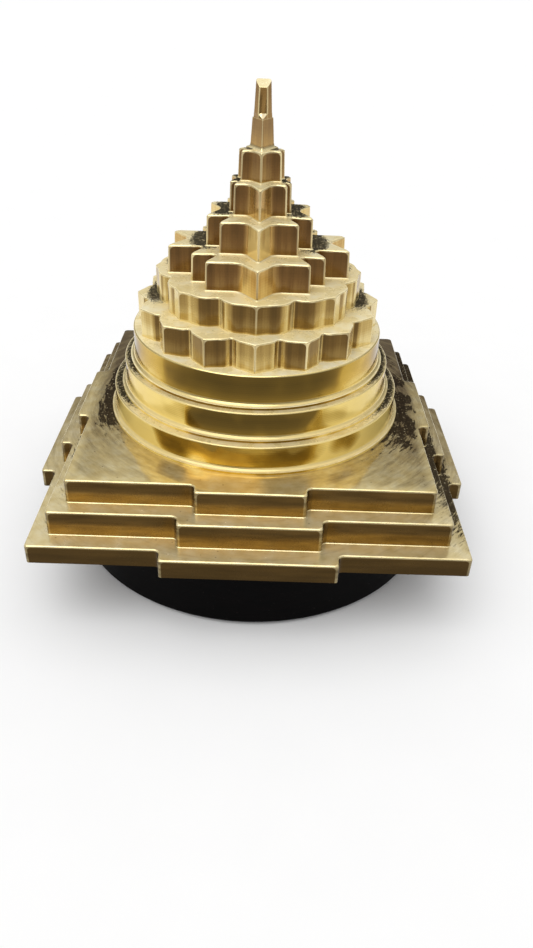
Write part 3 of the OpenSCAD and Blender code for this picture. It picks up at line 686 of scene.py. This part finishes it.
# a closed outline becomes a tier: walls, hollows, rounded top edge, rounded points, small flare at the foot
def raiseTier(bm, low, high, cut):
    bmesh.ops.edgeloop_fill(bm, edges=bm.edges[:])
    foot = cut["foot"]
    bmesh.ops.translate(bm, verts=bm.verts[:], vec=(0, 0, low + foot))
    extrudeUp(bm, high - low - foot)
    bmesh.ops.recalc_face_normals(bm, faces=bm.faces[:])
    bm.normal_update()
    sharp = [e for e in uprights(bm) if e.calc_face_angle() > math.radians(tierSet["sharpFrom"])]
    points = []
    for e in [e for e in sharp if e.is_convex]:
        inward = -(e.link_faces[0].normal + e.link_faces[1].normal).xy.normalized()
        setBack = cut["point"] / math.tan((math.pi - e.calc_face_angle()) / 2)
        points.append((e.verts[0].co.xy.copy(), inward, setBack))
    roundOff(bm, [e for e in sharp if not e.is_convex], cut["hollow"], tierSet["hollowSteps"])
    roundOff(bm, faceAt(bm, max).edges[:], cut["rim"], tierSet["rimSteps"], clamp=False)
    for point, inward, setBack in points:
        roundOff(bm, ridge(bm, point, inward), setBack, tierSet["pointSteps"])
    for out, down in tierSet["flare"] if foot else ():
        bmesh.ops.inset_region(bm, faces=[faceAt(bm, min)], thickness=-out * cut.get("flare", foot),
                               depth=down * foot, use_boundary=True, use_even_offset=True)
    middle = Vector((0, cut.get("middleY", 0)))
    rise = markRise(bm, low, high)
    fromPoint = bm.verts.layers.float.new("fromPoint")
    for v in bm.verts:
        v[fromPoint] = max(0, min((v.co.xy - point).length - setBack for point, inward, setBack in points))
        v.co.xy = middle + (v.co.xy - middle) * (1 - cut.get("taper", 0) * max(0, v[rise]))


# the finish's look with what it takes from one tier
def tierLook(look, cut, low, high):
    return dict(look, gritTo=cut["gritTo"], tall=high.z - low.z, rim=cut["rim"], **cut.get("look", {}))


finishSet = {"sharpFrom": 50}  # degrees between two faces that stay a sharp edge


def finishPiece(bm, name, node, body, material):
    bmesh.ops.dissolve_degenerate(bm, dist=sliver, edges=bm.edges[:])
    bmesh.ops.recalc_face_normals(bm, faces=bm.faces[:])
    for face in bm.faces:
        face.smooth = True
    for e in bm.edges:
        e.smooth = e.calc_face_angle(0) < math.radians(finishSet["sharpFrom"])
    mesh = bpy.data.meshes.new(name)
    bm.to_mesh(mesh)
    bm.free()
    mesh.materials.append(material)
    piece = bpy.data.objects.new(name, mesh)
    scene.collection.objects.link(piece)
    level = piece.modifiers.new("levelNormals", "WEIGHTED_NORMAL")  # flat faces stay flat beside their roundings
    level.mode = "FACE_AREA"
    level.keep_sharp = True
    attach(piece, body)
    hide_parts(node)


starTiers = {
    "fourteen": {
        "node": "fourteen_point_tier", "point": 0.5 * mm, "hollow": 2.3 * mm, "rim": 0.55 * mm,
        "foot": 0.5 * mm, "taper": 0.01, "gritTo": 26.5 * mm},
    "outerTen": {
        "node": "outer_ten_point_tier", "point": 0.5 * mm, "hollow": 2.0 * mm, "rim": 0.55 * mm,
        "foot": 0.5 * mm, "taper": 0.014, "gritTo": 19.2 * mm},
    "innerTen": {
        "node": "inner_ten_point_tier", "point": 0.45 * mm, "hollow": 1.6 * mm, "rim": 0.5 * mm,
        "foot": 0.4 * mm, "taper": 0.022, "gritTo": 13.0 * mm,
        # painted reflection tones of its own
        "look": {"rubbed": [(0.0, 0.3), (0.3, 0.45), (0.42, 0.66), (0.55, 0.55), (0.8, 0.28), (0.95, 0.15),
                            (1.0, 0.12)]}},
    "eight": {
        "node": "eight_point_tier", "point": 0.4 * mm, "hollow": 1.0 * mm, "rim": 0.45 * mm,
        "foot": 0.35 * mm, "taper": 0.035, "gritTo": 8.0 * mm,
        # painted reflection tones of its own
        "look": {"rubbed": [(0.0, 0.3), (0.4, 0.5), (0.58, 0.36), (0.7, 0.28), (0.85, 0.2), (0.95, 0.14),
                            (1.0, 0.1)]}},
}


def makeStar(name, cut):
    low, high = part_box(cut["node"])
    bm = bmesh.new()
    chain(bm, [p * figurePart for p in starHalves[name]])
    mirrorHalf(bm)
    raiseTier(bm, low.z, high.z, cut)
    brass = milledBrass(name + "Point", tierLook(milledLook, cut, low, high))
    finishPiece(bm, name + "PointStar", cut["node"], "yantra", brass)


for starName, starCut in starTiers.items():
    makeStar(starName, starCut)
print("star tiers made")

petalEdge = {
    "point": 0.55 * mm, "hollow": 1.0 * mm, "rim": 0.5 * mm, "foot": 0.0,
    "tipSteps": 4, "lobeSteps": 7, "valleySteps": 6,
}
lotusTiers = {
    "sixteen": dict(
        petalEdge, node="sixteen_petal_tier", petals=16, tip=44.5 * mm, shoulder=42.5 * mm, valley=39.3 * mm,
        shoulderAngle=4, tipWidth=4.3 * mm, valleyRound=1.2 * mm, gritTo=42.5 * mm, look={"gritFrom": -0.45}),
    "eight": dict(
        petalEdge, node="eight_petal_tier", petals=8, tip=37.3 * mm, shoulder=36.2 * mm, valley=32.5 * mm,
        shoulderAngle=10, tipWidth=3.2 * mm, valleyRound=1.5 * mm, gritTo=36.0 * mm, look={"gritFrom": -0.2}),
}


def makeLotus(name, cut):
    low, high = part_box(cut["node"])
    outer, inner, tipWidth = cut["shoulder"], cut["valley"], cut["tipWidth"]
    turn, half = math.radians(cut["shoulderAngle"]), math.pi / cut["petals"]
    lobeAt = (outer ** 2 - inner ** 2) / (2 * (outer - inner * math.cos(half - turn)))
    lobeSize = outer - lobeAt
    lobe = Vector((lobeAt * math.sin(turn), -lobeAt * math.cos(turn)))
    shoulder = Vector((outer * math.sin(turn), -outer * math.cos(turn)))
    # the valley is a round groove that touches the lobes on both sides
    groove, spread = cut["valleyRound"], half - turn
    grooveAt = lobeAt * math.cos(spread) + math.sqrt((lobeSize + groove) ** 2 - (lobeAt * math.sin(spread)) ** 2)
    outward = Vector((math.sin(half), -math.cos(half)))
    grooveMid, valley = outward * grooveAt, outward * (grooveAt - groove)
    touch = lobe + (grooveMid - lobe) * lobeSize / (lobeSize + groove)
    bm = bmesh.new()
    if tipWidth > shoulder.x:  # the pointed tip takes in the whole shoulder
        start = Vector((tipWidth, lobe.y - math.sqrt(lobeSize ** 2 - (tipWidth - lobe.x) ** 2)))
        last = chain(bm, [(0, -cut["tip"]), start])[-1]
    else:
        start = shoulder
        rest = Vector((tipWidth, -math.sqrt(outer ** 2 - tipWidth ** 2)))
        sweep = math.atan2(start.x, -start.y) - math.atan2(rest.x, -rest.y)
        spun = bmesh.ops.spin(bm, geom=[chain(bm, [(0, -cut["tip"]), rest])[-1]], cent=(0, 0, 0),
                              axis=(0, 0, 1), angle=sweep, steps=cut["tipSteps"])
        last = vertsOf(spun["geom_last"])[0]
    arcs = ((lobe, start, touch, cut["lobeSteps"]), (grooveMid, touch, valley, cut["valleySteps"]))
    for middle, begin, end, steps in arcs:
        sweep = (begin - middle).angle_signed(end - middle)
        spun = bmesh.ops.spin(bm, geom=[last], cent=(middle.x, middle.y, 0), axis=(0, 0, 1), angle=-sweep,
                              steps=steps)
        last = vertsOf(spun["geom_last"])[0]
    mirrorHalf(bm)
    repeatRound(bm, cut["petals"])
    raiseTier(bm, low.z, high.z, cut)
    brass = milledBrass(name + "Petal", tierLook(lotusLook, cut, low, high))
    finishPiece(bm, name + "PetalLotus", cut["node"], "yantra", brass)


for lotusName, lotusCut in lotusTiers.items():
    makeLotus(lotusName, lotusCut)
print("lotus tiers made")

squareEdge = {
    "point": 1.0 * mm, "hollow": 2.0 * mm, "rim": 0.6 * mm,
    "cornerRun": 8 * mm,  # the wall has a vertex this far from each corner, so that its bright line stays there
}
squareTiers = {
    "lower": dict(
        squareEdge, node="lower_square_tier", gateWidth=59.8 * mm, gateOut=5.5 * mm, foot=0.0, gritTo=76.4 * mm,
        pocket={"size": 8 * mm, "depth": 4.7 * mm, "steps": 48},
        # footLight: painted reflection tone up the wall, a little lighter near the top
        look={"footLight": [(0.0, 0.02), (0.8, 0.06), (1.0, 0.14)], "uneven": 0.05,
              "tarnishFrom": -10 * mm, "tarnishTo": 110 * mm, "topMetal": 0.62}),
    "middle": dict(
        squareEdge, node="middle_square_tier", gateWidth=48.6 * mm, gateOut=4.8 * mm, foot=0.3 * mm,
        gritTo=70.4 * mm, look={"tarnishFrom": -15 * mm, "tarnishTo": 100 * mm, "topMetal": 0.62}),
    "upper": dict(
        squareEdge, node="upper_square_tier", gateWidth=37.6 * mm, gateOut=4.5 * mm, foot=0.3 * mm,
        gritTo=80.9 * mm,
        look={"underRound": True, "gritFade": 22 * mm, "gritFrom": -0.85, "gritBack": 0.95, "gritSoft": 0.6,
              "gritLean": 0.085, "gritRagged": 1.4 * mm, "worn": 20 * mm, "handled": 18 * mm,
              "topMetal": 0.7, "topRough": (0.07, 0.13), "tarnishTone": "#624d26",
              # pale painted light on the level faces
              "top": [(0.3, "#e0c98a"), (0.5, "#ebd79c"), (0.7, "#f4e5b3")]}),
}


# round pocket in the underside, for the nut and its washer
def cutPocket(bm, cut, low):
    under = faceAt(bm, min)
    rim = under.edges[:]
    bmesh.ops.delete(bm, geom=[under], context="FACES_ONLY")
    ring = bmesh.ops.create_circle(bm, segments=cut["steps"], radius=cut["size"],
                                   matrix=Matrix.Translation((0, 0, low)))
    mouth = list({e for v in ring["verts"] for e in v.link_edges})
    bmesh.ops.bridge_loops(bm, edges=rim + mouth)
    wall = bmesh.ops.extrude_edge_only(bm, edges=mouth)
    bmesh.ops.translate(bm, verts=vertsOf(wall["geom"]), vec=(0, 0, cut["depth"]))
    bmesh.ops.edgeloop_fill(bm, edges=edgesOf(wall["geom"]))


def makeSquare(name, cut):
    low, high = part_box(cut["node"])
    out, gate = high.x, cut["gateWidth"] / 2
    half = out - cut["gateOut"]
    inset = half - cut["cornerRun"]
    bm = bmesh.new()
    chain(bm, [(-half, -half), (-inset, -half), (-gate, -half), (-gate, -out), (0, -out), (gate, -out),
               (gate, -half), (inset, -half), (half, -half)])
    repeatRound(bm, 4)
    raiseTier(bm, low.z, high.z, cut)
    if "pocket" in cut:
        cutPocket(bm, cut["pocket"], low.z)
    brass = castBrass(name + "Square", tierLook(castLook, cut, low, high))
    finishPiece(bm, name + "SquareWithGates", cut["node"], "yantra", brass)


for squareName, squareCut in squareTiers.items():
    makeSquare(squareName, squareCut)
print("square tiers made")

turnSteps = 192
roundEdge = {
    "cove": 1.6 * mm, "lip": 0.8 * mm, "rim": 0.7 * mm,
    "coveShare": 0.97, "lipShare": 0.4,  # how much of the cove and of the lip is rounded
    "coveSteps": 6, "rimSteps": 4, "lipSteps": 3,
    "gritWidth": 1 * mm,
}
# pale painted light on the level tops of the rounds
ledgeTone = [(0.3, "#d8c48a"), (0.5, "#e3d29e"), (0.7, "#eedfb5")]
# painted reflection: tone by how squarely the wall faces front or back
roundTiers = {
    "lower": dict(
        roundEdge, node="lower_round_tier",
        look={"top": ledgeTone,
              "rubbed": [(0.0, 0.3), (0.25, 0.6), (0.45, 1.0), (0.78, 1.0), (0.86, 0.66), (0.92, 0.4),
                         (1.0, 0.31)]}),
    "middle": dict(
        roundEdge, node="middle_round_tier",
        look={"top": ledgeTone,
              "rubbed": [(0.0, 0.2), (0.22, 0.35), (0.4, 0.8), (0.52, 1.0), (0.78, 1.0), (0.86, 0.82),
                         (0.92, 0.2), (1.0, 0.05)]}),
    "upper": dict(
        roundEdge, node="upper_round_tier",
        look={"gritFrom": 0.0, "topMetal": 0.12,
              "rubbed": [(0.0, 0.16), (0.22, 0.3), (0.42, 0.55), (0.56, 0.72), (0.7, 0.6), (0.78, 0.3),
                         (0.93, 0.08), (1.0, 0.04)]}),
}


def ringEdges(bm, radius, height):
    return [e for e in bm.edges
            if all(abs(v.co.xy.length - radius) < slack and abs(v.co.z - height) < slack for v in e.verts)]


def turnProfile(bm, points):
    verts = [bm.verts.new((r, 0, z)) for r, z in points]
    edges = [bm.edges.new(pair) for pair in zip(verts, verts[1:])]
    bmesh.ops.spin(bm, geom=verts + edges, cent=(0, 0, 0), axis=(0, 0, 1), angle=math.tau, steps=turnSteps,
                   use_merge=True)
    bmesh.ops.remove_doubles(bm, verts=bm.verts[:], dist=weld)
    bmesh.ops.recalc_face_normals(bm, faces=bm.faces[:])


def makeRound(name, cut):
    low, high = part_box(cut["node"])
    foot, wall = high.x, high.x - cut["cove"]
    lipTop = low.z + cut["lip"]
    bm = bmesh.new()
    turnProfile(bm, [(0, low.z), (foot, low.z), (foot, lipTop), (wall, lipTop), (wall, high.z), (0, high.z)])
    roundOff(bm, ringEdges(bm, wall, lipTop), cut["cove"] * cut["coveShare"], cut["coveSteps"])
    roundOff(bm, ringEdges(bm, wall, high.z), cut["rim"], cut["rimSteps"])
    roundOff(bm, ringEdges(bm, foot, lipTop), cut["lip"] * cut["lipShare"], cut["lipSteps"])
    markRise(bm, low.z, high.z)
    brass = turnedBrass(name + "Round", dict(turnedLook, gritTo=wall + cut["gritWidth"], **cut["look"]))
    finishPiece(bm, name + "TurnedRound", cut["node"], "yantra", brass)


for roundName, roundCut in roundTiers.items():
    makeRound(roundName, roundCut)
print("round tiers made")

spireSet = {
    "footScale": 1.2, "topScale": 0.86, "gritTo": 1 * mm, "corner": 0.6 * mm,
    "triangle": {
        "node": "triangle_tier", "point": 0.15 * mm, "hollow": 0.1 * mm, "rim": 0.06 * mm,
        "foot": 1.5 * mm, "flare": 0.65 * mm, "taper": 0.14,
        # its own painted highlight line and painted reflection tones
        "look": {"line": 0.9,
                 "rubbed": [(0.0, 0.35), (0.45, 0.42), (0.6, 0.38), (0.8, 0.4), (0.95, 0.2), (1.0, 0.12)]}},
    "bindu": {
        "node": "bindu", "topScale": 0.82, "backCut": 0.13, "frontCut": 0.44, "seatSlope": 30, "topSlope": 40,
        "round": 0.25 * mm, "rim": 0.12 * mm, "roundSteps": 3, "roundFrom": 25,
        "lineFrom": 1.2,  # the bright line starts this many roundings from the flat's corner
        # pale painted light on the top, and its own painted reflection tones
        "look": {"top": [(0.3, "#e4d29b"), (0.48, "#efe0b2"), (0.66, "#f6eac6")],
                 "rubbed": [(0.0, 0.35), (0.45, 0.42), (0.6, 0.38), (1.0, 0.36)],
                 "footLight": [(0.0, 0.1), (0.35, 0.1), (0.7, 0.0), (1.0, 0.06)]}},
}


def makeBindu(cut, front, wing, middleY, low, high):
    wide, back, tall = wing.x, wing.y, high - low
    flat = front.y + (back - front.y) * cut["frontCut"]
    seat = (flat - front.y) * math.tan(math.radians(cut["seatSlope"]))
    share, flatHalf = cut["backCut"], wide * cut["frontCut"]
    bm = bmesh.new()
    chain(bm, [Vector((0, flat)), front.lerp(wing, cut["frontCut"]), wing.lerp(front, share),
               Vector((wide * (1 - 2 * share), back)), Vector((0, back))])
    mirrorHalf(bm)
    bmesh.ops.edgeloop_fill(bm, edges=bm.edges[:])
    extrudeUp(bm, tall)
    # seat: the foot of the flat runs out to the triangle's front edge
    bmesh.ops.bisect_plane(bm, geom=bm.verts[:] + bm.edges[:] + bm.faces[:], plane_co=(0, 0, seat),
                           plane_no=(0, 0, 1))
    onFlat = [v for v in bm.verts if abs(v.co.y - flat) < hair]
    toe = [v for v in onFlat if abs(v.co.x) < hair and v.co.z < hair][0]
    toe.co.y = front.y
    for v in onFlat:
        if abs(v.co.x) > hair and abs(v.co.z - seat) < hair:
            bmesh.ops.connect_verts(bm, verts=[toe, v])
    # taper and rounded corners, then the sloping top with its own rounding
    for v in bm.verts:
        v.co.xy *= 1 - (1 - cut["topScale"]) * v.co.z / tall
    bmesh.ops.recalc_face_normals(bm, faces=bm.faces[:])
    bm.normal_update()
    corners = [e for e in bm.edges if e.calc_face_angle(0) > math.radians(cut["roundFrom"])
               and min(v.co.z for v in e.verts) < tall - seat < max(v.co.z for v in e.verts)]
    roundOff(bm, corners, cut["round"], cut["roundSteps"])
    slope = math.radians(cut["topSlope"])
    sliced = bmesh.ops.bisect_plane(bm, geom=bm.verts[:] + bm.edges[:] + bm.faces[:], dist=hair,
                                    plane_co=(0, back * cut["topScale"], tall),
                                    plane_no=(0, -math.sin(slope), math.cos(slope)), clear_outer=True)
    bmesh.ops.edgeloop_fill(bm, edges=edgesOf(sliced["geom_cut"]))
    bmesh.ops.translate(bm, verts=bm.verts[:], vec=(0, middleY, low))
    bmesh.ops.recalc_face_normals(bm, faces=bm.faces[:])
    roundOff(bm, faceAt(bm, max).edges[:], cut["rim"], cut["roundSteps"], clamp=False)
    rise = markRise(bm, low, high)
    fromPoint = bm.verts.layers.float.new("fromPoint")
    for v in bm.verts:
        narrow = 1 - (1 - cut["topScale"]) * v[rise]
        v[fromPoint] = max(0, min((v.co.xy - Vector((x, flat)) * narrow - Vector((0, middleY))).length
                                  for x in (-flatHalf, flatHalf)) - cut["lineFrom"] * cut["round"])
    return bm


def makeSpire(look):
    part = figurePart * look["footScale"]
    front, wing = corner(1) * part, meet(side(1), base(5)) * part
    middle = Vector((0, (front.y + 2 * wing.y) / 3))
    finish = dict(milledLook, gritTo=look["gritTo"], rim=look["triangle"]["rim"], corner=look["corner"])

    cut = dict(look["triangle"], middleY=middle.y)
    low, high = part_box(cut["node"])
    bm = bmesh.new()
    chain(bm, [front, front.lerp(wing, 0.5), wing, Vector((0, wing.y))])
    mirrorHalf(bm)
    raiseTier(bm, low.z, high.z, cut)
    brass = milledBrass("triangle", dict(finish, tall=high.z - low.z, **cut["look"]))
    finishPiece(bm, "centralTriangle", cut["node"], "yantra", brass)

    cut = look["bindu"]
    front, wing = [(p - middle) * look["topScale"] for p in (front, wing)]
    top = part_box(cut["node"])[1].z
    bm = makeBindu(cut, front, wing, middle.y, high.z, top)
    brass = milledBrass("bindu", dict(finish, tall=top - high.z, **cut["look"]))
    finishPiece(bm, "binduPin", cut["node"], "yantra", brass)


makeSpire(spireSet)
print("spire made")

standSet = {"node": "round_stand", "rim": 1.5 * mm, "rimSteps": 5}


def makeStand(cut):
    low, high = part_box(cut["node"])
    bm = bmesh.new()
    turnProfile(bm, [(0, low.z), (high.x, low.z), (high.x, high.z), (0, high.z)])
    roundOff(bm, ringEdges(bm, high.x, low.z) + ringEdges(bm, high.x, high.z), cut["rim"], cut["rimSteps"])
    finishPiece(bm, "turnedStand", cut["node"], "stand", lacqueredWood(woodLook))


makeStand(standSet)
print("stand made")

hiddenFinishes = {
    ("stand_felt",): pressedFelt(feltLook),
    ("tie_rod", "tie_nut", "tie_washer", "locating_pins"): plainSteel(steelLook),
}
for hiddenNodes, finish in hiddenFinishes.items():
    for hiddenNode in hiddenNodes:
        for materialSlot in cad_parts[hiddenNode].material_slots:
            materialSlot.material = finish
print("felt and fixings finished")
